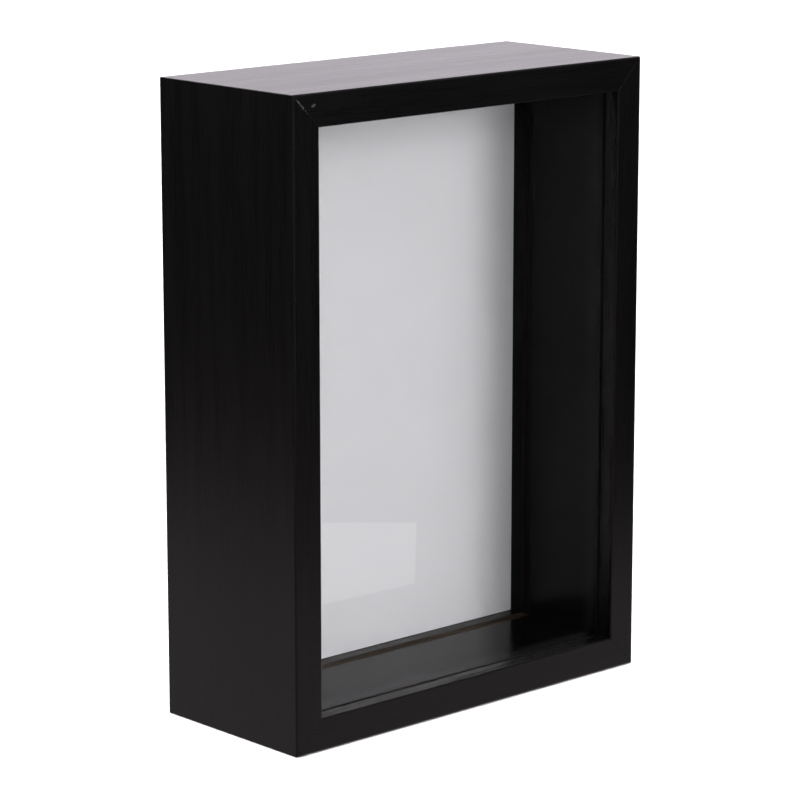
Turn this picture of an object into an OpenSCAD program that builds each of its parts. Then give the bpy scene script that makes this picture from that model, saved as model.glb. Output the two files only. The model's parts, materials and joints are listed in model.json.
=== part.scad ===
// Upright glazed shadow box for 127 x 178 mm glass.
// X runs across the front, Y from the front (-Y) to the back (+Y), Z up.
// The origin is under the middle of the box, on the surface that it stands on.

/* [Frame moulding] */
// Outside width across the front
frame_w = 138; // [132:0.5:200]
// Outside height
frame_h = 189; // [183:0.5:260]
// Outside depth from front to back
frame_d = 58; // [52:0.5:80]
// Width of the front face of the moulding
face_w = 9.7; // [9.2:0.1:12]
// Thickness of the side wall behind the rebate
wall_t = 4.7; // [4.4:0.1:5]
// Thickness of the front lip, front to back
lip_t = 5.2; // [4.5:0.1:7]
// Rounding of the long edges of the moulding
edge_r = 0.6; // [0.3:0.1:1]

/* [Glass and spacers] */
// Thickness of the glass pane
glass_t = 2; // [1.5:0.1:2.5]
// Room left beside and above the glass, in all
glass_play = 1.6; // [0.8:0.1:2]
// Length of the spacer strips, front to back
spacer_d = 31.3; // [24:0.1:34]

/* [Lift-out back] */
// Gap between the back and the walls, each side
back_gap = 0.3; // [0.25:0.05:0.5]
// Depth of the rim that stands forward of the back board
rim_d = 7.5; // [5:0.1:9]
// Thickness of the white display board
board_t = 1.5; // [1:0.1:2.5]
// Room left beside the display board, each side
board_gap = 0.1; // [0.05:0.05:0.3]
// Thickness of the back board
back_t = 3; // [2.5:0.1:4]

/* [Retaining tabs and V-nails] */
// Thickness of a retaining tab
tab_t = 0.5; // [0.4:0.05:0.6]
// Width of a retaining tab
tab_w = 8; // [6:0.5:10]
// Length of a tab inside its slot in the wall
tab_in = 3.8; // [3:0.1:4]
// Length of a tab outside the wall
tab_out = 10; // [7:0.5:12]
// Thickness of the V-nail steel
nail_t = 0.4; // [0.3:0.05:0.5]
// Length of each leg of a V-nail
nail_leg = 2.4; // [2:0.1:2.6]
// Depth of the V-nail driven into the rear edge
nail_d = 7; // [5:0.5:9]

/* [Hangers] */
// Diameter of the ring wire
wire_d = 1.6; // [1.4:0.1:1.8]
// Radius of the round side of the D ring, to the wire's centre
ring_r = 9; // [8.5:0.1:10]
// Clearance between the wire and its loop, on the radius
loop_gap = 0.05; // [0.03:0.01:0.08]
// Thickness of the strap steel
strap_t = 0.5; // [0.4:0.05:0.6]
// Width of the strap
strap_w = 7; // [6:0.5:7.5]
// Length of the strap from the loop's axis to its round end
strap_l = 8; // [7.5:0.1:8]
// Diameter of the rivet shank
rivet_d = 3; // [2.5:0.1:3]
// Diameter of the rivet head
rivet_head_d = 4.8; // [4.4:0.1:5]
// Height of the rivet head
rivet_head_h = 0.9; // [0.6:0.1:1.2]
// Distance from the box's outside edge to a hanger's loop
hanger_inset = 24; // [22:0.5:40]

/* [Hidden] */
$fn = 64;
eps = 0.01;

// Room between the back board and the tabs, so that they don't rub before they are bent
tab_gap = 0.15;

// Planes from front to back
front_y = -frame_d / 2;
rear_y = frame_d / 2;
glass_y = front_y + lip_t;
spacer_y = glass_y + glass_t;
rim_y = spacer_y + spacer_d + back_gap;
back_y = rim_y + rim_d;
back_rear_y = back_y + back_t;
tab_y = back_rear_y + tab_gap;

// The rebate that the glass, spacers and back sit in
rebate_w = frame_w - 2 * wall_t;
rebate_h = frame_h - 2 * wall_t;
liner_t = face_w - wall_t;
mid_z = frame_h / 2;

// The lift-out back
back_w = rebate_w - 2 * back_gap;
back_h = rebate_h - 2 * back_gap;
rim_t = liner_t - back_gap;

// Tabs sit at a quarter of each side's length from its middle
tab_share = 0.25;

// V-nails: half the angle between the legs, how far they are sunk, and the short nail's depth
nail_half_angle = 40;
nail_sink = 0.3;
nail_lip_d = 3.5;
nail_wall_at = 0.3 * wall_t;
nail_lip_at = wall_t + 0.35 * liner_t;
slot_over = 0.6;

// The rolled loop that a ring swings in
loop_r = wire_d / 2 + loop_gap;
loop_outer_r = loop_r + strap_t;
tail_d = 4.4;
tail_h = 0.4;
tail_pocket = 0.1;
hanger_y = back_rear_y + loop_outer_r;
rivet_at = strap_l - strap_w / 2;
// Front of the back board, measured from the hinge of a ring
board_front = -loop_outer_r - back_t;

// ---------- shared shapes ----------

// A block centred on X and Z, running back from y0
module slab(w, h, y0, d) {
    translate([-w / 2, y0, -h / 2]) cube([w, d, h]);
}

// The sharp corner that an eased edge takes off, at the origin of the first quadrant
module eased_corner() {
    difference() {
        translate([-1, -1]) square(edge_r + 1);
        translate([edge_r, edge_r]) circle(edge_r);
    }
}

// Section of the moulding: X is back from the front face, Y is inwards from the outside face
module moulding_section() {
    difference() {
        union() {
            square([frame_d, wall_t]);
            square([lip_t, face_w]);
        }
        eased_corner();
        translate([0, face_w]) mirror([0, 1, 0]) eased_corner();
        translate([frame_d, 0]) mirror([1, 0, 0]) eased_corner();
    }
}

// One mitred length with its outside face down, centred on X
module moulding(len) {
    intersection() {
        translate([-len / 2, 0, 0]) rotate([90, 0, 90]) linear_extrude(len) moulding_section();
        translate([0, frame_d + 1, 0]) rotate([90, 0, 0]) linear_extrude(frame_d + 2)
            polygon([[-len / 2, 0], [len / 2, 0],
                [len / 2 - 2 * face_w, 2 * face_w], [-len / 2 + 2 * face_w, 2 * face_w]]);
    }
}

// The sides are numbered by quarter turns from the bottom: 0 bottom, 1 left, 2 top, 3 right
function side_run(side) = side % 2 == 0 ? frame_w : frame_h;

// Puts its children, made for the bottom side, on a side
module on_side(side) {
    translate([0, front_y, mid_z]) rotate([0, 90 * side, 0])
        translate([0, 0, -side_run(side + 1) / 2]) children();
}

// One side of the frame, with the slots that its nails and tabs sit in
module frame_side(side) {
    difference() {
        on_side(side) moulding(side_run(side));
        v_nails(slot_over);
        tabs();
    }
}

// ---------- fasteners of the frame ----------

// One V-nail, its point towards the corner, driven forwards from y = 0; extra lengthens its rear end
module v_nail(depth, extra) {
    for (way = [-1, 1])
        rotate([0, -45 + way * nail_half_angle, 0])
            translate([0, -depth, -nail_t / 2]) cube([nail_leg, depth + extra, nail_t]);
}

// Every V-nail, two at each corner; extra lets the same shape cut its slot through to the surface
module v_nails(extra) {
    for (side = [0:3])
        on_side(side) translate([-side_run(side) / 2, 0, 0]) {
            translate([nail_wall_at, frame_d - nail_sink, nail_wall_at]) v_nail(nail_d, extra);
            translate([nail_lip_at, lip_t - nail_sink, nail_lip_at]) v_nail(nail_lip_d, extra);
        }
}

// One tab for the bottom side, centred on X, rising out of its slot in the wall
module tab() {
    translate([-tab_w / 2, tab_y - front_y, wall_t - tab_in]) cube([tab_w, tab_t, tab_in + tab_out]);
}

module tabs() {
    for (side = [0:3], way = [-1, 1])
        on_side(side) translate([way * tab_share * side_run(side), 0, 0]) tab();
}

// ---------- hangers ----------

// Puts its children, made with the loop's axis along X through the origin and the board
// in front, on the back: upright at the top middle, or turned on its side
module at_hanger(place) {
    if (place == "top")
        translate([0, hanger_y, frame_h - hanger_inset]) children();
    else
        translate([frame_w / 2 - hanger_inset, hanger_y, mid_z]) rotate([0, 90, 0]) children();
}

// A cylinder along Y from y0, at a height z
module stud(d, y0, len, z) {
    translate([0, y0, z]) rotate([-90, 0, 0]) cylinder(d = d, h = len);
}

module hanger_strap() {
    difference() {
        union() {
            translate([-strap_w / 2, -loop_outer_r, -rivet_at]) cube([strap_w, strap_t, rivet_at]);
            stud(strap_w, -loop_outer_r, strap_t, -rivet_at);
            translate([-strap_w / 2, 0, 0]) rotate([0, 90, 0]) cylinder(r = loop_outer_r, h = strap_w);
        }
        translate([-strap_w / 2 - 1, 0, 0]) rotate([0, 90, 0]) cylinder(r = loop_r, h = strap_w + 2);
        stud(rivet_d, -loop_outer_r - 1, strap_t + 2, -rivet_at);
    }
}

module hanger_ring() {
    rotate([90, 0, 0]) intersection() {
        rotate_extrude() translate([ring_r, 0]) circle(d = wire_d);
        translate([-2 * ring_r, -2 * ring_r, -wire_d]) cube([4 * ring_r, 2 * ring_r, 2 * wire_d]);
    }
    translate([-ring_r, 0, 0]) rotate([0, 90, 0]) cylinder(d = wire_d, h = 2 * ring_r);
    for (way = [-1, 1]) translate([way * ring_r, 0, 0]) sphere(d = wire_d);
}

// A rivet: head on the strap, shank through the back board, tail spread in a shallow pocket
module rivet() {
    stud(rivet_head_d, -loop_outer_r + strap_t, rivet_head_h, -rivet_at);
    stud(rivet_d, board_front, back_t + strap_t + eps, -rivet_at);
    stud(tail_d, board_front + tail_pocket, tail_h, -rivet_at);
}

// The hole and the tail's pocket for a rivet in the back board
module rivet_hole() {
    stud(rivet_d, board_front - 1, back_t + 2, -rivet_at);
    stud(tail_d, board_front - 1, 1 + tail_pocket + tail_h, -rivet_at);
}

// ---------- pieces of the frame ----------

module bottom_rail() { color("#141314") frame_side(0); }
module left_stile() { color("#141314") frame_side(1); }
module top_rail() { color("#141314") frame_side(2); }
module right_stile() { color("#141314") frame_side(3); }

module corner_v_nails() { color("silver") v_nails(0); }
module retaining_tabs() { color("silver") tabs(); }

// The pane stands on the bottom of the rebate
module glass_pane() {
    color("lightcyan", 0.3)
        translate([0, 0, wall_t + (rebate_h - glass_play) / 2])
            slab(rebate_w - glass_play, rebate_h - glass_play, glass_y, glass_t);
}

// One upright strip, between the top and bottom strips
module upright_strip(way, outer_w, outer_h, t, y0, d) {
    translate([way * (outer_w - t) / 2, 0, mid_z]) slab(t, outer_h - 2 * t, y0, d);
}

// One level strip, the full width
module level_strip(way, outer_w, outer_h, t, y0, d) {
    translate([0, 0, mid_z + way * (outer_h - t) / 2]) slab(outer_w, t, y0, d);
}

module spacer_left() {
    color("#1c1b1c") upright_strip(-1, rebate_w, rebate_h, liner_t, spacer_y, spacer_d);
}
module spacer_right() {
    color("#1c1b1c") upright_strip(1, rebate_w, rebate_h, liner_t, spacer_y, spacer_d);
}
module spacer_top() {
    color("#1c1b1c") level_strip(1, rebate_w, rebate_h, liner_t, spacer_y, spacer_d);
}
module spacer_bottom() {
    color("#1c1b1c") level_strip(-1, rebate_w, rebate_h, liner_t, spacer_y, spacer_d);
}

// ---------- pieces of the lift-out back ----------

module tray_rim_left() { color("#1c1b1c") upright_strip(-1, back_w, back_h, rim_t, rim_y, rim_d); }
module tray_rim_right() { color("#1c1b1c") upright_strip(1, back_w, back_h, rim_t, rim_y, rim_d); }
module tray_rim_top() { color("#1c1b1c") level_strip(1, back_w, back_h, rim_t, rim_y, rim_d); }
module tray_rim_bottom() { color("#1c1b1c") level_strip(-1, back_w, back_h, rim_t, rim_y, rim_d); }

module display_board() {
    inside = 2 * (rim_t + board_gap);
    color("#dcdce0") translate([0, 0, mid_z])
        slab(back_w - inside, back_h - inside, back_y - board_t, board_t);
}

module back_board() {
    color("#a9794f") difference() {
        translate([0, 0, mid_z]) slab(back_w, back_h, back_y, back_t);
        for (place = ["top", "side"]) at_hanger(place) rivet_hole();
    }
}

module hanger_strap_top() { color("silver") at_hanger("top") hanger_strap(); }
module hanger_strap_side() { color("silver") at_hanger("side") hanger_strap(); }
module hanger_ring_top() { color("silver") at_hanger("top") hanger_ring(); }
module hanger_ring_side() { color("silver") at_hanger("side") hanger_ring(); }

module hanger_rivets() {
    color("silver") for (place = ["top", "side"]) at_hanger(place) rivet();
}

left_stile();
right_stile();
top_rail();
bottom_rail();
corner_v_nails();
glass_pane();
spacer_left();
spacer_right();
spacer_top();
spacer_bottom();
retaining_tabs();
tray_rim_left();
tray_rim_right();
tray_rim_top();
tray_rim_bottom();
display_board();
back_board();
hanger_strap_top();
hanger_strap_side();
hanger_ring_top();
hanger_ring_side();
hanger_rivets();
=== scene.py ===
"""Looks of the upright glazed shadow box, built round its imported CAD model.

Metres, +Z up, the glass faces -Y. Sizes come from the CAD nodes' boxes and joints. Small finishing
sizes, such as eased edges, are named below in millimetres and scaled by MM.
"""
import json
import math
import random

import bmesh
import bpy
from mathutils import Matrix, Vector


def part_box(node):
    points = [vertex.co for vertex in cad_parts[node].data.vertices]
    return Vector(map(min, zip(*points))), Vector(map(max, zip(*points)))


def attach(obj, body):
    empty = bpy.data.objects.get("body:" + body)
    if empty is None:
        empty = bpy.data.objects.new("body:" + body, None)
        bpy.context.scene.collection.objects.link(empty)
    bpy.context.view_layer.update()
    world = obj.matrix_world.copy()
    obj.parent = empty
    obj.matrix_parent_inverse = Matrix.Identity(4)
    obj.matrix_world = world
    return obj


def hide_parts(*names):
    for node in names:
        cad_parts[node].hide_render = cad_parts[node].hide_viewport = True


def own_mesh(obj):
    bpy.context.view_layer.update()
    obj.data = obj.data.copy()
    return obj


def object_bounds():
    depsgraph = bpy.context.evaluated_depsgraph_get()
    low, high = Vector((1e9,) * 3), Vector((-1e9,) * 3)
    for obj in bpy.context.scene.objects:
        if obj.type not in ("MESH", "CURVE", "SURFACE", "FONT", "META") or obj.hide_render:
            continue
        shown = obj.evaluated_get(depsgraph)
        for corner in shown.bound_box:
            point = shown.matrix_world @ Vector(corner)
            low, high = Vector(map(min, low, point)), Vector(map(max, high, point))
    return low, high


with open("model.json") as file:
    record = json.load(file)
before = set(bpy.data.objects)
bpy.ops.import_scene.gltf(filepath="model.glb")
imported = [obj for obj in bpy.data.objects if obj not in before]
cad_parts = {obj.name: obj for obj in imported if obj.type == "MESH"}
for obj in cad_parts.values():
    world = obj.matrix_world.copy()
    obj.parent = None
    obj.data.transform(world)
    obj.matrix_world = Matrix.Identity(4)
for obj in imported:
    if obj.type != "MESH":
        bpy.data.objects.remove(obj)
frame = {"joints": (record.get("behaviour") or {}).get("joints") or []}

MM = 0.001
CAD_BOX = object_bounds()

# ---------- camera ----------
# The camera looks down on the front left corner from about a metre away.
CAMERA_AZIMUTH = 42.68
CAMERA_ELEVATION = 12.36
CAMERA_DISTANCE = 1.0003
CAMERA_AIM = Vector((-0.0021, 0.0004, 0.0895))
CAMERA_LENS = 151.1

# ---------- finishing sizes in millimetres and degrees ----------
EDGE_R = 0.6
SIGHT_EDGE_R = 0.45
INNER_EDGE_R = 0.25
MITRE_EASE = 0.07
MITRE_GAP = 0.02
FLAKE_T = 0.03
STRIP_EASE = 0.30
BARE_BAND = 2.0
GLASS_EASE = 0.30
BOARD_EASE = 0.15
BACK_EASE = 0.35
TAB_WIDTH = 8.0
TAB_REACH = 10.0
TAB_EASE = 0.08
TAB_LIFT = 1.1
TAB_CUTS = 14
# A tab's distance from the middle of its side, in side lengths, and corner radius, in tab widths
TAB_SHARE = 0.25
TAB_CORNER = 0.28
LOOP_GAP = 0.05
LOOP_WRAP = 295
STRAP_EASE = 0.09
RING_FILLET = 1.8
RIVET_HEAD_R = 2.4
RIVET_SHANK_R = 1.5
RIVET_DEPTH = 3.0
NAIL_T = 0.4
NAIL_LEG = 2.4
NAIL_EASE = 0.05
NAIL_DEPTH = 7.0
NAIL_LIP_DEPTH = 3.5
NAIL_LIP_SINK = 0.2
NAIL_HALF_ANGLE = 40
# Shares of the way in across the wall, and across the step behind the lip
NAIL_WALL_SHARE = 0.3
NAIL_LIP_SHARE = 0.35
# Flakes on the top left mitre: share of the way along it, and radius
MITRE_FLAKES = (
    (0.10, 0.14), (0.17, 0.46), (0.24, 0.62), (0.31, 0.50), (0.39, 0.64),
    (0.48, 0.28), (0.56, 0.20), (0.68, 0.12), (0.80, 0.10), (0.93, 0.10),
)
FLAKE_SCATTER = 0.08
FLAKE_CORNERS = 9
# How deep a flake's rim is sunk, in flake thicknesses, and how wide its top is, in rim widths
FLAKE_ROOT = 1.2
FLAKE_TOP = 0.8
# The filled pin hole: in from the left, down from the top, and radius
PIN_HOLE = (7.65, 3.5, 1.05)
STRAY_FLAKES_PER_MITRE = 3

# ---------- sizes read from the CAD model ----------
LO, HI = CAD_BOX
WIDTH, DEPTH, HEIGHT = HI - LO
MID_Z = (LO.z + HI.z) / 2
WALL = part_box("spacer_left")[0].x - LO.x
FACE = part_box("spacer_left")[1].x - LO.x
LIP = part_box("glass_pane")[0].y - LO.y
JOINTS = {j["name"]: j for j in frame["joints"]}


# ================= meshes =================

def piece(name, bm, materials, body, nodes, smooth_angle=35):
    """Makes an object from bm, rides it on its body and lets it stand for its CAD nodes."""
    mesh = bpy.data.meshes.new(name)
    bmesh.ops.recalc_face_normals(bm, faces=bm.faces)
    bm.to_mesh(mesh)
    bm.free()
    for material in materials:
        mesh.materials.append(material)
    mesh.polygons.foreach_set("use_smooth", [True] * len(mesh.polygons))
    mesh.set_sharp_from_angle(angle=math.radians(smooth_angle))
    obj = bpy.data.objects.new(name, mesh)
    bpy.context.scene.collection.objects.link(obj)
    weighted = obj.modifiers.new("flat_faces_stay_flat", "WEIGHTED_NORMAL")
    weighted.keep_sharp = True
    weighted.weight = 60
    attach(obj, body)
    if nodes:
        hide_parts(*nodes)
    return obj


def arc(cx, cy, r, start, end, steps=6):
    """Points on an arc, angles in degrees, both ends included."""
    angles = [math.radians(start + (end - start) * k / steps) for k in range(steps + 1)]
    return [(cx + r * math.cos(a), cy + r * math.sin(a)) for a in angles]


def inset(outline, distance):
    """The closed outline moved inwards by distance. The outline runs anticlockwise."""
    moved = []
    for k, point in enumerate(outline):
        before, here = Vector(outline[k - 1]), Vector(point)
        after = Vector(outline[(k + 1) % len(outline)])
        a, b = (here - before).normalized(), (after - here).normalized()
        normal = Vector((-a.y - b.y, a.x + b.x)).normalized()
        # The limit keeps sharp corners from being moved too far.
        cosine = max(0.5, normal.dot(Vector((-a.y, a.x))))
        moved.append(tuple(here + normal * (distance / cosine)))
    return moved


def add_loops(bm, rings, closed_path=False, tag=None):
    """Skins a list of equally long rings of points, with caps unless the path closes on itself.

    tag(k) gives the material of ring segment k.
    """
    rows = [[bm.verts.new(p) for p in ring] for ring in rings]
    count = len(rows[0])
    pairs = list(zip(rows, rows[1:])) + ([(rows[-1], rows[0])] if closed_path else [])
    for low, high in pairs:
        for k in range(count):
            j = (k + 1) % count
            face = bm.faces.new((low[k], low[j], high[j], high[k]))
            if tag:
                face.material_index = tag(k)
    if not closed_path:
        for row in (rows[0], rows[-1]):
            bm.faces.new(row)


def add_block(bm, lo, hi, ease, segments=3, matrix=None):
    """A box with all its edges rounded, placed by matrix.

    Dicts keep the edges and corners in order, so that every run gives the same mesh.
    """
    made = bmesh.ops.create_cube(bm, size=1)["verts"]
    size, middle = Vector(hi) - Vector(lo), (Vector(hi) + Vector(lo)) / 2
    for v in made:
        v.co = Vector(a * b for a, b in zip(v.co, size)) + middle
    edges = list(dict.fromkeys(e for v in made for e in v.link_edges))
    rounded = bmesh.ops.bevel(
        bm, geom=edges, offset=ease, segments=segments, profile=0.5, affect="EDGES", clamp_overlap=True
    )
    if matrix is not None:
        corners = list(dict.fromkeys(v for f in rounded["faces"] for v in f.verts))
        bmesh.ops.transform(bm, matrix=matrix, verts=corners)


def add_lathe(bm, profile, matrix, steps=40):
    """Turns (radius, height) points about the local Y axis and caps both ends."""
    turns = [2 * math.pi * k / steps for k in range(steps)]
    add_loops(bm, [
        [matrix @ Vector((radius * math.cos(a), height, radius * math.sin(a))) for a in turns]
        for radius, height in profile
    ])


# ---------- moulding ----------

def moulding_outline():
    """Section of the moulding, anticlockwise: x back from the front of the box, y inwards.

    The front face is set back by the thickness of the flakes that lie on it. The second result
    lists the segments left as raw wood: the wall of the rebate and the step behind the lip.
    """
    r, sight, inner = EDGE_R * MM, SIGHT_EDGE_R * MM, INNER_EDGE_R * MM
    back = FLAKE_T * MM
    front = arc(back + r, r, r, 180, 270)
    rear_outer = arc(DEPTH - r, r, r, 270, 360)
    rear_inner = arc(DEPTH - inner, WALL - inner, inner, 0, 90, 3)
    step = [(LIP, WALL)]
    lip_rear = arc(LIP - inner, FACE - inner, inner, 0, 90, 3)
    sight_edge = arc(back + sight, FACE - sight, sight, 90, 180)
    outline = front + rear_outer + rear_inner + step + lip_rear + sight_edge
    raw_from = len(front) + len(rear_outer) + len(rear_inner) - 1
    return outline, {raw_from, raw_from + 1}


def side_matrix(side):
    """Puts what is made for the bottom side on a side: 0 bottom, 1 left, 2 top, 3 right."""
    across = HEIGHT if side % 2 == 0 else WIDTH
    return (
        Matrix.Translation((0, LO.y, MID_Z))
        @ Matrix.Rotation(math.radians(90 * side), 4, "Y")
        @ Matrix.Translation((0, 0, -across / 2))
    )


def side_run(side):
    return WIDTH if side % 2 == 0 else HEIGHT


def make_moulding(side, node, lacquer, raw):
    """One mitred length of moulding with a fine groove along its mitres."""
    outline, raw_segments = moulding_outline()
    ease, gap, run = MITRE_EASE * MM, MITRE_GAP * MM, side_run(side)
    inner = inset(outline, ease)
    full = [(d, n, run / 2 - n - gap - 2 * ease) for d, n in outline]
    small = [(d, n, run / 2 - n - gap) for d, n in inner]
    place = side_matrix(side)
    rings = [
        [place @ Vector((way * x, d, n)) for d, n, x in ring]
        for way, ring in ((-1, small), (-1, full), (1, full), (1, small))
    ]
    bm = bmesh.new()
    add_loops(bm, rings, tag=lambda k: 1 if k in raw_segments else 0)
    piece(node + "_wood", bm, [lacquer, raw], "frame", [node])


# ---------- strips and boards ----------

def make_strip(node, body, film, core, paint):
    """A liner strip whose film stops short of the joint between spacer and tray.

    Its other end is painted.
    """
    lo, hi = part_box(node)
    joint = (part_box("spacer_left")[1].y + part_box("tray_rim_left")[0].y) / 2
    bm = bmesh.new()
    add_block(bm, lo, hi, STRIP_EASE * MM)
    for y in (joint - BARE_BAND * MM, joint + BARE_BAND * MM):
        bmesh.ops.bisect_plane(
            bm, geom=bm.verts[:] + bm.edges[:] + bm.faces[:], plane_co=(0, y, 0), plane_no=(0, 1, 0))
    for face in bm.faces:
        if abs(face.calc_center_median().y - joint) < BARE_BAND * MM:
            face.material_index = 1
        elif abs(face.normal.y) > 0.5:
            face.material_index = 2
    piece(node + "_strip", bm, [film, core, paint], body, [node])


def make_faced_board(node, body, face_material, core, ease):
    """A board with its finish on the front and raw edges and back."""
    bm = bmesh.new()
    add_block(bm, *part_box(node), ease * MM, segments=2)
    for face in bm.faces:
        face.material_index = 0 if face.normal.y < -0.9 else 1
    piece(node + "_sheet", bm, [face_material, core], body, [node])


def make_glass(material):
    """The clear pane, which casts no shadow."""
    bm = bmesh.new()
    add_block(bm, *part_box("glass_pane"), GLASS_EASE * MM, segments=1)
    glass = piece("glass_pane_clear", bm, [material], "frame", ["glass_pane"])
    glass.visible_shadow = False


# ---------- fasteners of the frame ----------

def make_v_nails(steel):
    """Two V-nails at each mitre: one in the rear edge of the wall, one in the step behind the lip."""
    bm = bmesh.new()
    spots = (
        (NAIL_WALL_SHARE * WALL, DEPTH, NAIL_DEPTH * MM),
        (WALL + NAIL_LIP_SHARE * (FACE - WALL), LIP - NAIL_LIP_SINK * MM, NAIL_LIP_DEPTH * MM),
    )
    half = NAIL_T * MM / 2
    for side in range(4):
        corner = side_matrix(side) @ Matrix.Translation((-side_run(side) / 2, 0, 0))
        for inwards, rear, depth in spots:
            for way in (-1, 1):
                turn = Matrix.Rotation(math.radians(-45 + way * NAIL_HALF_ANGLE), 4, "Y")
                place = corner @ Matrix.Translation((inwards, 0, inwards)) @ turn
                low, high = (0, rear - depth, -half), (NAIL_LEG * MM, rear, half)
                add_block(bm, low, high, NAIL_EASE * MM, 1, place)
    piece("corner_v_nails_steel", bm, [steel], "frame", ["corner_v_nails"])


def tab_outline(width, length):
    """Outline of a tab, anticlockwise, with its root at y = 0 and rounded outer corners."""
    r = TAB_CORNER * width
    return (
        [(-width / 2, 0), (width / 2, 0)]
        + arc(width / 2 - r, length - r, r, 0, 90)
        + arc(-width / 2 + r, length - r, r, 90, 180)
    )


def add_tab(bm, middle, front, thickness, inside):
    """A flat tab, made for the bottom side, with eased edges and its root inside the wall."""
    ease = TAB_EASE * MM
    outline = tab_outline(TAB_WIDTH * MM, inside + TAB_REACH * MM)
    add_loops(bm, [
        [Vector((middle + x, front + level, WALL - inside + y)) for x, y in inset(outline, shrink)]
        for level, shrink in ((0, ease), (ease, 0), (thickness - ease, 0), (thickness, ease))
    ])


def lift_tabs(bm, inside):
    """Cuts the tabs across and curls their free ends back, away from the back board."""
    length = inside + TAB_REACH * MM
    for k in range(1, TAB_CUTS):
        bmesh.ops.bisect_plane(
            bm, geom=bm.verts[:] + bm.edges[:] + bm.faces[:],
            plane_co=(0, 0, WALL - inside + length * k / TAB_CUTS), plane_no=(0, 0, 1))
    for v in bm.verts:
        out = max(0.0, (v.co.z - WALL) / (TAB_REACH * MM))
        v.co.y += TAB_LIFT * MM * out ** 3


def make_tabs(side, name, steel):
    """The two bendable tabs of one side, with a mesh of their own."""
    lo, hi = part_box("retaining_tabs")
    inside = WALL - (lo.x - LO.x)
    bm = bmesh.new()
    for way in (-1, 1):
        add_tab(bm, way * TAB_SHARE * side_run(side), lo.y - LO.y, hi.y - lo.y, inside)
    lift_tabs(bm, inside)
    place = side_matrix(side)
    bmesh.ops.transform(bm, matrix=place, verts=bm.verts[:])
    tabs = piece(name, bm, [steel], "frame", ["retaining_tabs"])
    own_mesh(tabs)


# ---------- hangers ----------

def hanger_matrix(joint, turn):
    return Matrix.Translation(JOINTS[joint]["pos_m"]) @ Matrix.Rotation(math.radians(turn), 4, "Y")


WIRE_R = (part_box("hanger_ring_top")[1].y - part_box("hanger_ring_top")[0].y) / 2
RING_R = (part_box("hanger_ring_top")[1].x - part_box("hanger_ring_top")[0].x) / 2 - WIRE_R
LOOP_OUTER_R = JOINTS["ring_top_swing"]["pos_m"][1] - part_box("hanger_strap_top")[0].y
STRAP_T = LOOP_OUTER_R - WIRE_R - LOOP_GAP * MM
STRAP_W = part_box("hanger_strap_top")[1].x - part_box("hanger_strap_top")[0].x
STRAP_L = JOINTS["ring_top_swing"]["pos_m"][2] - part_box("hanger_strap_top")[0].z
RIVET_AT = STRAP_L - STRAP_W / 2


def ring_path(bend_steps=8, round_steps=40, straight_steps=5):
    """Centre line of the D ring in its own X-Z plane: a straight side, two bends and an arc."""
    r = RING_FILLET * MM
    across = math.sqrt((RING_R - r) ** 2 - r ** 2)
    tilt = math.degrees(math.atan2(r, across))
    right = arc(across, -r, r, 90, -tilt, bend_steps)
    round_side = arc(0, 0, RING_R, -tilt, -180 + tilt, round_steps)[1:-1]
    left = arc(-across, -r, r, -180 + tilt, -270, bend_steps)
    straight = [(across * (k / straight_steps * 2 - 1), 0) for k in range(1, straight_steps)]
    return right + round_side + left + straight


def make_ring(name, joint, turn, body, node, steel, sides=18):
    """A ring of bent wire that turns on its strap's loop."""
    path = [Vector((x, 0, z)) for x, z in ring_path()]
    place, normal = hanger_matrix(joint, turn), Vector((0, 1, 0))
    turns = [2 * math.pi * j / sides for j in range(sides)]
    rings = []
    for k, point in enumerate(path):
        across = (path[(k + 1) % len(path)] - path[k - 1]).normalized().cross(normal)
        rings.append([
            place @ (point + WIRE_R * (math.cos(a) * across + math.sin(a) * normal)) for a in turns
        ])
    bm = bmesh.new()
    add_loops(bm, rings, closed_path=True)
    piece(name, bm, [steel], body, [node])


def strap_stations(end_steps=12, loop_steps=30):
    """(y, z, heading, half width) along the strap, from its round end up and round the loop."""
    y, half = -LOOP_OUTER_R + STRAP_T / 2, STRAP_W / 2
    stations = []
    for k in range(1, end_steps + 1):
        a = math.radians(90 * k / end_steps)
        stations.append((y, -STRAP_L + half * (1 - math.cos(a)), 90, half * math.sin(a)))
    stations.append((y, -0.2 * STRAP_L, 90, half))
    curl_r = WIRE_R + LOOP_GAP * MM + STRAP_T / 2
    for k in range(loop_steps + 1):
        turned = 180 - LOOP_WRAP * k / loop_steps
        a = math.radians(turned)
        stations.append((curl_r * math.cos(a), curl_r * math.sin(a), turned - 90, half))
    return stations


def make_strap(name, joint, turn, node, steel):
    """A flat strap with a round end, rolled over at the top into the loop that holds the ring."""
    place = hanger_matrix(joint, turn)
    t, c = STRAP_T / 2, STRAP_EASE * MM
    rings = []
    for y, z, heading, half in strap_stations():
        a = math.radians(heading)
        normal = Vector((0, math.sin(a), -math.cos(a)))
        centre = Vector((0, y, z))
        flat = half - min(c, half * 0.5)
        section = [(-flat, -t), (flat, -t), (half, -t + c), (half, t - c),
                   (flat, t), (-flat, t), (-half, t - c), (-half, -t + c)]
        rings.append([place @ (centre + Vector((w, 0, 0)) + normal * h) for w, h in section])
    bm = bmesh.new()
    add_loops(bm, rings)
    piece(name, bm, [steel], "back_tray", [node])


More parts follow.
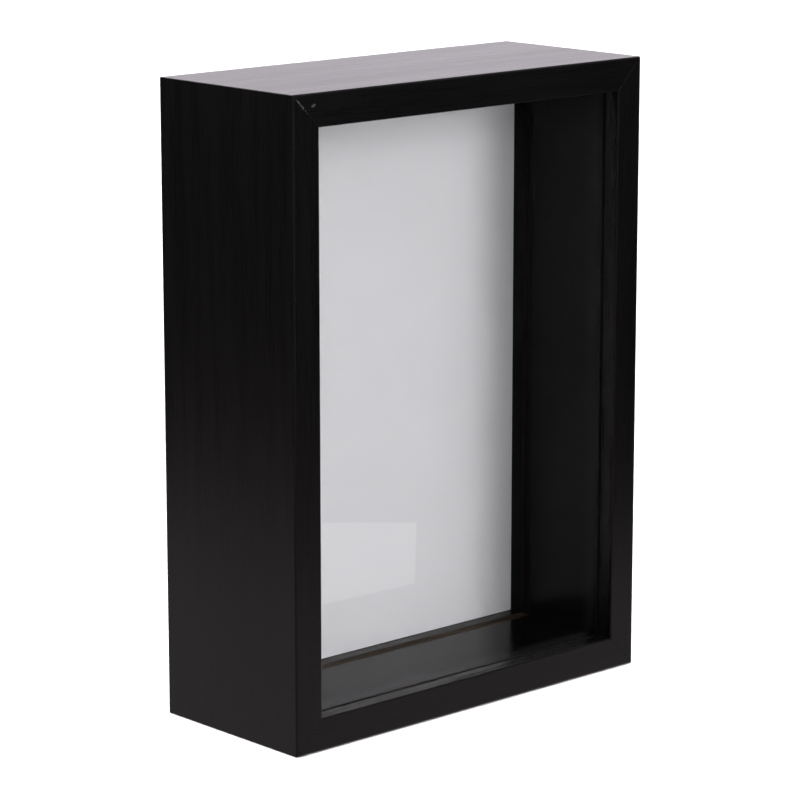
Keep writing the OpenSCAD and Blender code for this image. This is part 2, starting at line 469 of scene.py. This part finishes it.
def rivet_profile():
    """(radius, height above the strap's face) in millimetres: shank, dome and dimple."""
    shank = [(0.05, -RIVET_DEPTH), (RIVET_SHANK_R, -RIVET_DEPTH), (RIVET_SHANK_R, 0)]
    rim = [(0.98 * RIVET_HEAD_R, 0)]
    turns = [math.radians(a) for a in range(0, 71, 10)]
    dome = [(RIVET_HEAD_R * math.cos(a), 0.2 + 0.7 * math.sin(a)) for a in turns]
    dimple = [(0.62, 0.80), (0.50, 0.45), (0.05, 0.40)]
    return shank + rim + dome + dimple


def make_rivets(steel):
    """A domed tubular rivet through each strap."""
    base = -LOOP_OUTER_R + STRAP_T
    profile = [(radius * MM, base + height * MM) for radius, height in rivet_profile()]
    bm = bmesh.new()
    for joint, turn in (("ring_top_swing", 0), ("ring_side_swing", 90)):
        place = hanger_matrix(joint, turn) @ Matrix.Translation((0, 0, -RIVET_AT))
        add_lathe(bm, profile, place)
    piece("hanger_rivets_domed", bm, [steel], "back_tray", ["hanger_rivets"])


# ---------- small wear on the mitres ----------

def add_flake(bm, rng, x, z, radius):
    """A low, uneven flake lying on the front face, its middle at x, z."""
    rim, top = [], []
    stretch, lean = rng.uniform(0.5, 0.9), rng.uniform(0, math.pi)
    for k in range(FLAKE_CORNERS):
        a = 2 * math.pi * k / FLAKE_CORNERS
        r = radius * rng.uniform(0.7, 1.15)
        u, v = r * math.cos(a), r * stretch * math.sin(a)
        dx, dz = u * math.cos(lean) - v * math.sin(lean), u * math.sin(lean) + v * math.cos(lean)
        rim.append(Vector((x + dx, LO.y + FLAKE_ROOT * FLAKE_T * MM, z + dz)))
        top.append(Vector((x + dx * FLAKE_TOP, LO.y, z + dz * FLAKE_TOP)))
    add_loops(bm, [rim, top])


def make_mitre_wear(filler):
    """Filler showing in the top left mitre, a filled pin hole beside it, and a few flakes elsewhere."""
    rng = random.Random(7)
    bm = bmesh.new()
    scatter = FLAKE_SCATTER * MM
    for share, radius in MITRE_FLAKES:
        x = LO.x + share * FACE + rng.uniform(-scatter, scatter)
        z = HI.z - share * FACE + rng.uniform(-scatter, scatter)
        add_flake(bm, rng, x, z, radius * MM)
    inwards, down, radius = PIN_HOLE
    add_flake(bm, rng, LO.x + inwards * MM, HI.z - down * MM, radius * MM)
    for sx, sz in ((1, 1), (-1, -1), (1, -1)):
        for _ in range(STRAY_FLAKES_PER_MITRE):
            inwards = rng.uniform(0.1, 0.9) * FACE
            x, z = sx * (WIDTH / 2 - inwards), MID_Z + sz * (HEIGHT / 2 - inwards)
            add_flake(bm, rng, x, z, rng.uniform(0.04, 0.08) * MM)
    piece("mitre_filler", bm, [filler], "frame", [])


# ================= materials =================

def put(tree, kind, inputs=None, **props):
    """Adds a node, sets its properties, and sets or links its inputs."""
    made = tree.nodes.new(kind)
    for key, value in props.items():
        setattr(made, key, value)
    for key, value in (inputs or {}).items():
        if isinstance(value, bpy.types.NodeSocket):
            tree.links.new(value, made.inputs[key])
        else:
            made.inputs[key].default_value = value
    return made


def new_tree(name):
    material = bpy.data.materials.new(name)
    material.use_nodes = True
    material.node_tree.nodes.clear()
    return material, material.node_tree


def finish_tree(tree, shader):
    put(tree, "ShaderNodeOutputMaterial", {"Surface": shader})


def coords_mm(tree, stretch=(1, 1, 1)):
    """The piece's own coordinates in millimetres, times stretch on each axis."""
    source = put(tree, "ShaderNodeTexCoord").outputs["Object"]
    scale = tuple(s / MM for s in stretch)
    return put(tree, "ShaderNodeMapping", {"Vector": source, "Scale": scale}).outputs["Vector"]


def noise(tree, vector, scale, detail=3.0, roughness=0.55, distortion=0.0):
    return put(tree, "ShaderNodeTexNoise", {
        "Vector": vector, "Scale": scale, "Detail": detail,
        "Roughness": roughness, "Distortion": distortion,
    }).outputs["Fac"]


def span(tree, value, low, high, out_low=0.0, out_high=1.0):
    """Maps low..high of a value to out_low..out_high, clamped."""
    return put(tree, "ShaderNodeMapRange", {
        "Value": value, "From Min": low, "From Max": high, "To Min": out_low, "To Max": out_high,
    }).outputs["Result"]


def math_node(tree, operation, a, b):
    return put(tree, "ShaderNodeMath", {0: a, 1: b}, operation=operation).outputs[0]


def blend_colour(tree, factor, a, b):
    made = put(tree, "ShaderNodeMix", {"Factor": factor}, data_type="RGBA")
    for socket, value in ((made.inputs[6], a), (made.inputs[7], b)):
        if isinstance(value, bpy.types.NodeSocket):
            tree.links.new(value, socket)
        else:
            socket.default_value = (*value, 1)
    return made.outputs[2]


def bump(tree, height, distance_mm, strength, under=None):
    inputs = {"Height": height, "Distance": distance_mm * MM, "Strength": strength}
    if under is not None:
        inputs["Normal"] = under
    return put(tree, "ShaderNodeBump", inputs).outputs["Normal"]


def principled(tree, **inputs):
    named = {key.replace("_", " ").title(): value for key, value in inputs.items()}
    fixed = {"Ior": "IOR", "Specular Ior Level": "Specular IOR Level"}
    named = {fixed.get(key, key): value for key, value in named.items()}
    return put(tree, "ShaderNodeBsdfPrincipled", named).outputs["BSDF"]


def along(axis, squeeze):
    """A stretch that draws a pattern out along one axis."""
    return tuple(squeeze if k == axis else 1 for k in range(3))


X_AXIS, Z_AXIS = 0, 2
LACQUER_GLOSS = 0.11
FILM_GLOSS = 0.08


def black_lacquer(name, grain_axis):
    """Satin black lacquer that lets the straight grain under it show as faint ridges."""
    material, tree = new_tree(name)
    fine = noise(tree, coords_mm(tree, along(grain_axis, 0.035)), 1.9,
                 detail=5.0, roughness=0.6, distortion=0.15)
    broad = noise(tree, coords_mm(tree, along(grain_axis, 0.06)), 0.24)
    mottle = noise(tree, coords_mm(tree), 0.9, detail=2.0)
    dots = noise(tree, coords_mm(tree, along(grain_axis, 0.12)), 3.4, detail=2.0)
    pores = span(tree, dots, 0.64, 0.76)
    tone = span(tree, math_node(tree, "ADD", fine, broad), 0.75, 1.25)
    colour = blend_colour(tree, tone, (0.0040, 0.0035, 0.0037), (0.0068, 0.0061, 0.0063))
    rough = math_node(tree, "ADD", span(tree, broad, 0.3, 0.7, 0.25, 0.28),
                      span(tree, fine, 0.3, 0.7, 0.0, 0.035))
    height = math_node(tree, "SUBTRACT", math_node(tree, "ADD", fine, broad), pores)
    normal = bump(tree, height, 0.020, 0.16, bump(tree, mottle, 0.012, 0.16))
    finish_tree(tree, principled(
        tree, base_color=colour, roughness=rough, specular_ior_level=LACQUER_GLOSS, normal=normal))
    return material


def black_film(name, grain_axis):
    """Smoother black film on the liner strips, with a slight ripple."""
    material, tree = new_tree(name)
    ripple = noise(tree, coords_mm(tree, along(grain_axis, 0.15)), 0.16, detail=2.0)
    fine = noise(tree, coords_mm(tree, along(grain_axis, 0.08)), 2.4)
    colour = blend_colour(tree, fine, (0.0014, 0.0013, 0.0014), (0.0030, 0.0028, 0.0030))
    rough = span(tree, math_node(tree, "ADD", fine, ripple), 0.7, 1.3, 0.16, 0.24)
    normal = bump(tree, ripple, 0.10, 0.20, bump(tree, fine, 0.006, 0.3))
    finish_tree(tree, principled(
        tree, base_color=colour, roughness=rough, specular_ior_level=FILM_GLOSS, normal=normal))
    return material


def raw_wood(name, grain_axis):
    """Unfinished pale wood in the rebate, greyed by black overspray near the rear edge."""
    material, tree = new_tree(name)
    vector = coords_mm(tree, along(grain_axis, 0.03))
    rings = put(tree, "ShaderNodeTexWave", {
        "Vector": vector, "Scale": 0.35, "Distortion": 5.0, "Detail": 3.0, "Detail Scale": 1.2,
    }, bands_direction="DIAGONAL").outputs["Fac"]
    fibres = noise(tree, vector, 3.0, detail=5.0, roughness=0.65)
    wood = blend_colour(tree, rings, (0.42, 0.27, 0.145), (0.58, 0.41, 0.24))
    wood = blend_colour(tree, span(tree, fibres, 0.35, 0.7, 0.0, 0.45), wood, (0.30, 0.18, 0.09))
    depth = put(tree, "ShaderNodeSeparateXYZ", {0: coords_mm(tree)}).outputs["Y"]
    drift = math_node(tree, "MULTIPLY", noise(tree, coords_mm(tree), 0.5), 5.0)
    edge = math_node(tree, "ADD", depth, drift)
    rear_mm = HI.y / MM
    spray = span(tree, edge, rear_mm - 3.5, rear_mm + 2.5)
    colour = blend_colour(tree, spray, wood, (0.012, 0.011, 0.012))
    normal = bump(tree, fibres, 0.05, 0.5)
    finish_tree(tree, principled(tree, base_color=colour, roughness=0.72, normal=normal))
    return material


def raw_fibre(name, light, dark, gloss):
    """Raw fibreboard: matted fibres with darker flecks."""
    material, tree = new_tree(name)
    vector = coords_mm(tree)
    fibres = noise(tree, vector, 1.6, detail=6.0, roughness=0.7, distortion=1.2)
    matting = noise(tree, vector, 0.42, detail=6.0, roughness=0.68, distortion=0.9)
    flecks = span(tree, noise(tree, vector, 1.25, roughness=0.6), 0.64, 0.72)
    clouds = noise(tree, vector, 0.05, detail=2.0)
    tone = math_node(tree, "ADD", math_node(tree, "MULTIPLY", fibres, 0.45),
                     math_node(tree, "MULTIPLY", clouds, 0.25))
    tone = math_node(tree, "ADD", tone, math_node(tree, "MULTIPLY", matting, 0.5))
    colour = blend_colour(tree, span(tree, tone, 0.42, 0.80), dark, light)
    colour = blend_colour(tree, math_node(tree, "MULTIPLY", flecks, 0.6), colour,
                          tuple(0.45 * c for c in dark))
    rough = span(tree, fibres, 0.3, 0.7, 0.62, 0.80)
    normal = bump(tree, fibres, 0.05, 0.45)
    finish_tree(tree, principled(
        tree, base_color=colour, roughness=rough, specular_ior_level=gloss, normal=normal))
    return material


def white_paper(name):
    """Matt white facing paper with a faint tooth."""
    material, tree = new_tree(name)
    vector = coords_mm(tree)
    tooth = noise(tree, vector, 2.2, detail=4.0, roughness=0.6)
    clouds = noise(tree, vector, 0.045, detail=2.0)
    colour = blend_colour(tree, clouds, (0.80, 0.79, 0.82), (0.85, 0.84, 0.87))
    rough = span(tree, tooth, 0.3, 0.7, 0.60, 0.72)
    normal = bump(tree, tooth, 0.012, 0.35)
    finish_tree(tree, principled(
        tree, base_color=colour, roughness=rough, specular_ior_level=0.35, normal=normal))
    return material


def plated_steel(name, colour_a, colour_b, rough_low, rough_high):
    """Bright plated steel with fine drawing marks and soft spangle."""
    material, tree = new_tree(name)
    marks = noise(tree, coords_mm(tree, along(X_AXIS, 0.2)), 6.0, detail=4.0)
    spangle = noise(tree, coords_mm(tree), 0.8, detail=2.0)
    colour = blend_colour(tree, spangle, colour_a, colour_b)
    rough = span(tree, math_node(tree, "ADD", marks, spangle), 0.7, 1.3, rough_low, rough_high)
    normal = bump(tree, marks, 0.008, 0.4)
    finish_tree(tree, principled(
        tree, base_color=colour, metallic=1.0, roughness=rough, normal=normal))
    return material


def clear_glass(name):
    """Float glass, with the faintest long waves of a drawn sheet."""
    material, tree = new_tree(name)
    waves = noise(tree, coords_mm(tree), 0.02, detail=1.0)
    normal = bump(tree, waves, 0.02, 0.10)
    finish_tree(tree, principled(
        tree, base_color=(0.980, 0.983, 0.981, 1), roughness=0.0, ior=1.5,
        transmission_weight=1.0, normal=normal))
    return material


def pale_filler(name):
    """Gritty grey filler, lighter than the lacquer round it."""
    material, tree = new_tree(name)
    grit = noise(tree, coords_mm(tree), 9.0)
    colour = blend_colour(tree, span(tree, grit, 0.3, 0.7), (0.018, 0.017, 0.017), (0.092, 0.088, 0.090))
    finish_tree(tree, principled(
        tree, base_color=colour, roughness=0.7, normal=bump(tree, grit, 0.02, 0.5)))
    return material


# ================= studio =================

FLOOR_REACH = 12.0
FLOOR_DROP = 0.04 * MM
# The studio as the object reflects it and is lit by it. To the eye it is white all round.
DOME_WHITE = (1.0, 0.96, 1.01)
GROUND_DARK = (0.015, 0.015, 0.016)
HORIZON_FADE = (0.0, 0.12)
DOME_IN_GLOSS = 0.45
DOME_IN_DIFFUSE = 0.10
FLOOR_WHITE = (1.0, 0.98, 1.0)
FLOOR_IN_DIFFUSE = 0.24
# The pale sheet under the box: two corners and the width of its faded edge, in metres
TABLE_SHEET = ((-0.325, -0.30), (0.26, 0.42))
TABLE_FADE = 0.14
TABLE_GLOW = 0.98
TABLE_TINT = (1.0, 0.88, 0.92)
# The rest of the floor, by X * Y / (X * X + Y * Y): where its glow starts and where it is full
SIDE_FLOOR_FADE = (-0.22, 0.12)
SIDE_FLOOR_GLOW = 0.60
# The card that the glass mirrors, with its corners as (X, Z) in metres
WINDOW_WHITE = (1.0, 0.99, 1.0)
WINDOW_GLOW = 1.15
WINDOW_CARD_Y = -0.124
WINDOW_CARD = ((0.0334, 0.0035), (0.0747, 0.0030), (0.0756, 0.0239), (0.0336, 0.0311))
SUN_POWER = 4.4
SUN_ANGLE = 1
# Azimuth and elevation, distance in metres, half width and half height in degrees, and radiance
SOFTBOXES = {
    "front_key": (17.2, 9.0, 1.5, 8, 16, 3.65),
    "front_fill": (-1, 9.0, 1.6, 28, 16, 1.04),
    "rear_softbox": (138, 15, 2.2, 24, 12, 1.01),
    "left_fill": (-112, 14, 1.6, 20, 12, 1.3),
    "back_key": (212, 34, 1.6, 16, 16, 4.5),
    "right_fill": (96, 22, 1.8, 14, 14, 1.2),
}
REAR_TINT = (1.0, 0.93, 1.02)


def stage_plane(name, corners, material):
    mesh = bpy.data.meshes.new(name)
    mesh.from_pydata([tuple(c) for c in corners], [], [(0, 1, 2, 3)])
    mesh.materials.append(material)
    obj = bpy.data.objects.new(name, mesh)
    bpy.context.scene.collection.objects.link(obj)
    return obj


def seen_only_in_gloss(obj):
    """Lets a card light nothing and show only as a reflection."""
    obj.visible_camera = False
    obj.visible_diffuse = False
    obj.visible_transmission = False
    obj.visible_shadow = False


def emission(tree, colour, strength):
    inputs = {"Color": (*colour, 1), "Strength": strength}
    return put(tree, "ShaderNodeEmission", inputs).outputs[0]


def mix_shader(tree, factor, a, b):
    return put(tree, "ShaderNodeMixShader", {0: factor, 1: a, 2: b}).outputs[0]


def bounced(tree, *kinds):
    """1 on a ray that has met one of these kinds of surface on its way, else 0."""
    path = put(tree, "ShaderNodeLightPath")
    total = 0.0
    for kind in kinds:
        total = math_node(tree, "ADD", path.outputs[kind + " Depth"], total)
    return span(tree, total, 0, 1)


def table_sheet_glow(tree, place):
    """Glow of the pale sheet that the box stands on, which fades at its edges."""
    (x0, y0), (x1, y1) = TABLE_SHEET
    strength = TABLE_GLOW
    for axis, low, high in (("X", x0, x1), ("Y", y0, y1)):
        rise = span(tree, place.outputs[axis], low, low + TABLE_FADE)
        fall = span(tree, place.outputs[axis], high - TABLE_FADE, high, 1, 0)
        strength = math_node(tree, "MULTIPLY", math_node(tree, "MULTIPLY", rise, fall), strength)
    return strength


def side_floor_glow(tree, place):
    """Glow of the floor off the front left and rear right corners.

    The faces mirror it in views from the other two corners, and not in the photo's.
    """
    x, y = place.outputs["X"], place.outputs["Y"]
    xx, xy, yy = (math_node(tree, "MULTIPLY", a, b) for a, b in ((x, x), (x, y), (y, y)))
    corner = math_node(tree, "DIVIDE", xy, math_node(tree, "ADD", xx, yy))
    return span(tree, corner, *SIDE_FLOOR_FADE, 0, SIDE_FLOOR_GLOW)


def make_floor():
    """A floor that is white to the eye, and dimmer in what it lights and in satin reflections."""
    material, tree = new_tree("studio_white")
    cloud = noise(tree, coords_mm(tree), 0.004, detail=2.0)
    colour = blend_colour(tree, cloud, (0.86, 0.86, 0.865), (0.88, 0.88, 0.885))
    white = principled(tree, base_color=colour, roughness=0.8, specular_ior_level=0.1)
    place = put(tree, "ShaderNodeSeparateXYZ", {0: put(tree, "ShaderNodeTexCoord").outputs["Object"]})
    sheet = math_node(tree, "MAXIMUM", table_sheet_glow(tree, place), side_floor_glow(tree, place))
    sharp = put(tree, "ShaderNodeLightPath").outputs["Is Singular Ray"]
    satin = math_node(tree, "MULTIPLY", sheet, span(tree, sharp, 0, 1, 1, 0))
    in_gloss = emission(tree, TABLE_TINT, satin)
    lighting = emission(tree, FLOOR_WHITE, FLOOR_IN_DIFFUSE)
    dim = mix_shader(tree, bounced(tree, "Diffuse"), in_gloss, lighting)
    finish_tree(tree, mix_shader(tree, bounced(tree, "Diffuse", "Glossy"), white, dim))
    reach = FLOOR_REACH
    corners = [(x * reach, y * reach, -FLOOR_DROP) for x, y in ((-1, -1), (1, -1), (1, 1), (-1, 1))]
    stage_plane("studio_floor", corners, material)


def make_window_card():
    """A pale upright card that the glass mirrors as a four-sided patch low on its left."""
    material, tree = new_tree("window_glow")
    sharp = put(tree, "ShaderNodeLightPath").outputs["Is Singular Ray"]
    finish_tree(tree, emission(tree, WINDOW_WHITE, math_node(tree, "MULTIPLY", sharp, WINDOW_GLOW)))
    corners = [(x, WINDOW_CARD_Y, z) for x, z in WINDOW_CARD]
    seen_only_in_gloss(stage_plane("window_card", corners, material))


def make_world():
    """White to the eye all round. To the object, a pale dome over dark ground, weaker as fill."""
    world = bpy.data.worlds.new("studio")
    bpy.context.scene.world = world
    world.use_nodes = True
    tree = world.node_tree
    tree.nodes.clear()
    direction = put(tree, "ShaderNodeTexCoord").outputs["Generated"]
    up = put(tree, "ShaderNodeSeparateXYZ", {0: direction}).outputs["Z"]
    sky = blend_colour(tree, span(tree, up, *HORIZON_FADE), GROUND_DARK, DOME_WHITE)
    strength = span(tree, bounced(tree, "Diffuse"), 0, 1, DOME_IN_GLOSS, DOME_IN_DIFFUSE)
    dome = put(tree, "ShaderNodeBackground", {"Color": sky, "Strength": strength}).outputs[0]
    white = put(tree, "ShaderNodeBackground", {"Color": (1, 1, 1, 1), "Strength": 1.0}).outputs[0]
    mixed = mix_shader(tree, bounced(tree, "Diffuse", "Glossy"), white, dome)
    put(tree, "ShaderNodeOutputWorld", {"Surface": mixed})


def add_lamp(name, kind, place, aim, energy, **props):
    lamp = bpy.data.lights.new(name, kind)
    lamp.energy = energy
    for key, value in props.items():
        setattr(lamp, key, value)
    obj = bpy.data.objects.new(name, lamp)
    bpy.context.scene.collection.objects.link(obj)
    obj.location = place
    obj.rotation_euler = (Vector(aim) - Vector(place)).to_track_quat("-Z", "Y").to_euler()
    # A lamp is not seen through the glass.
    obj.visible_transmission = False
    return obj


def add_softbox(name, azimuth, elevation, distance, half_width, half_height, radiance):
    """A softbox seen from the middle of the box at the given angles, in degrees from the -Y axis."""
    middle = Vector((0, 0, MID_Z))
    a, e = math.radians(azimuth), math.radians(elevation)
    way = Vector((math.sin(a) * math.cos(e), -math.cos(a) * math.cos(e), math.sin(e)))
    place = middle + distance * way
    width = 2 * distance * math.tan(math.radians(half_width))
    height = 2 * distance * math.tan(math.radians(half_height))
    # Cycles gives an area lamp a radiance of its energy over four times its area.
    energy = radiance * 4 * width * height
    return add_lamp(name, "AREA", place, middle, energy, shape="RECTANGLE", size=width, size_y=height)


def make_lamps():
    """An overhead sun and softboxes all round."""
    add_lamp("overhead", "SUN", (0, 0, 2), (0, 0, 0), SUN_POWER, angle=math.radians(SUN_ANGLE))
    boxes = {name: add_softbox(name, *shape) for name, shape in SOFTBOXES.items()}
    boxes["rear_softbox"].data.color = REAR_TINT
    # Rays that leave through the pane can't hit a lamp, so these two are sampled directly only.
    for name in ("front_key", "front_fill"):
        boxes[name].data.cycles.use_multiple_importance_sampling = False


def make_camera():
    a, e = math.radians(CAMERA_AZIMUTH), math.radians(CAMERA_ELEVATION)
    forward = Vector((math.sin(a) * math.cos(e), math.cos(a) * math.cos(e), -math.sin(e)))
    data = bpy.data.cameras.new("camera")
    data.lens = CAMERA_LENS
    data.sensor_width = 36
    camera = bpy.data.objects.new("camera", data)
    bpy.context.scene.collection.objects.link(camera)
    camera.location = CAMERA_AIM - forward * CAMERA_DISTANCE
    camera.rotation_euler = forward.to_track_quat("-Z", "Y").to_euler()
    bpy.context.scene.camera = camera


# ================= the object =================

def make_frame():
    lacquer = {X_AXIS: black_lacquer("lacquer_level", X_AXIS),
               Z_AXIS: black_lacquer("lacquer_upright", Z_AXIS)}
    raw = {X_AXIS: raw_wood("rebate_level", X_AXIS), Z_AXIS: raw_wood("rebate_upright", Z_AXIS)}
    for side, node in enumerate(("bottom_rail", "left_stile", "top_rail", "right_stile")):
        axis = X_AXIS if side % 2 == 0 else Z_AXIS
        make_moulding(side, node, lacquer[axis], raw[axis])
    make_mitre_wear(pale_filler("filler"))


def make_liner():
    # One fibreboard core in two brightnesses: the upright copy is painted about five times darker than
    # the level one, as painted shade on the side walls.
    core = {X_AXIS: raw_fibre("core_level", (0.040, 0.027, 0.018), (0.026, 0.018, 0.012), 0.08),
            Z_AXIS: raw_fibre("core_upright_painted_shade", (0.0075, 0.0050, 0.0042), (0.0045, 0.0032, 0.0028), 0.06)}
    paint = raw_fibre("painted_ends", (0.0110, 0.0100, 0.0104), (0.0070, 0.0062, 0.0066), 0.10)
    film = {X_AXIS: black_film("film_level", X_AXIS), Z_AXIS: black_film("film_upright", Z_AXIS)}
    for group, body in (("spacer", "frame"), ("tray_rim", "back_tray")):
        for place, axis in (("left", Z_AXIS), ("right", Z_AXIS), ("top", X_AXIS), ("bottom", X_AXIS)):
            make_strip(f"{group}_{place}", body, film[axis], core[axis], paint)


def make_boards():
    greyboard = raw_fibre("greyboard", (0.46, 0.44, 0.41), (0.30, 0.28, 0.26), 0.30)
    hardboard = raw_fibre("hardboard", (0.46, 0.285, 0.155), (0.27, 0.155, 0.080), 0.35)
    make_faced_board("display_board", "back_tray", white_paper("facing_paper"),
                     greyboard, BOARD_EASE)
    make_faced_board("back_board", "back_tray", hardboard, hardboard, BACK_EASE)


def make_hardware():
    steel = plated_steel("zinc_plate", (0.60, 0.59, 0.57), (0.68, 0.67, 0.65), 0.30, 0.42)
    wire = plated_steel("bright_wire", (0.66, 0.65, 0.63), (0.76, 0.75, 0.73), 0.12, 0.22)
    make_v_nails(steel)
    for side, place in enumerate(("bottom", "left", "top", "right")):
        make_tabs(side, f"retaining_tabs_{place}", steel)
    for place, turn in (("top", 0), ("side", 90)):
        joint = f"ring_{place}_swing"
        make_strap(f"hanger_strap_{place}_folded", joint, turn, f"hanger_strap_{place}", steel)
        make_ring(f"hanger_ring_{place}_wire", joint, turn, f"ring_{place}", f"hanger_ring_{place}", wire)
    make_rivets(steel)


make_camera()
make_world()
make_lamps()
make_floor()
make_window_card()
make_frame()
make_liner()
make_boards()
make_glass(clear_glass("float_glass"))
make_hardware()

bpy.context.scene.view_settings.view_transform = "Standard"
bpy.context.scene.view_settings.look = "None"
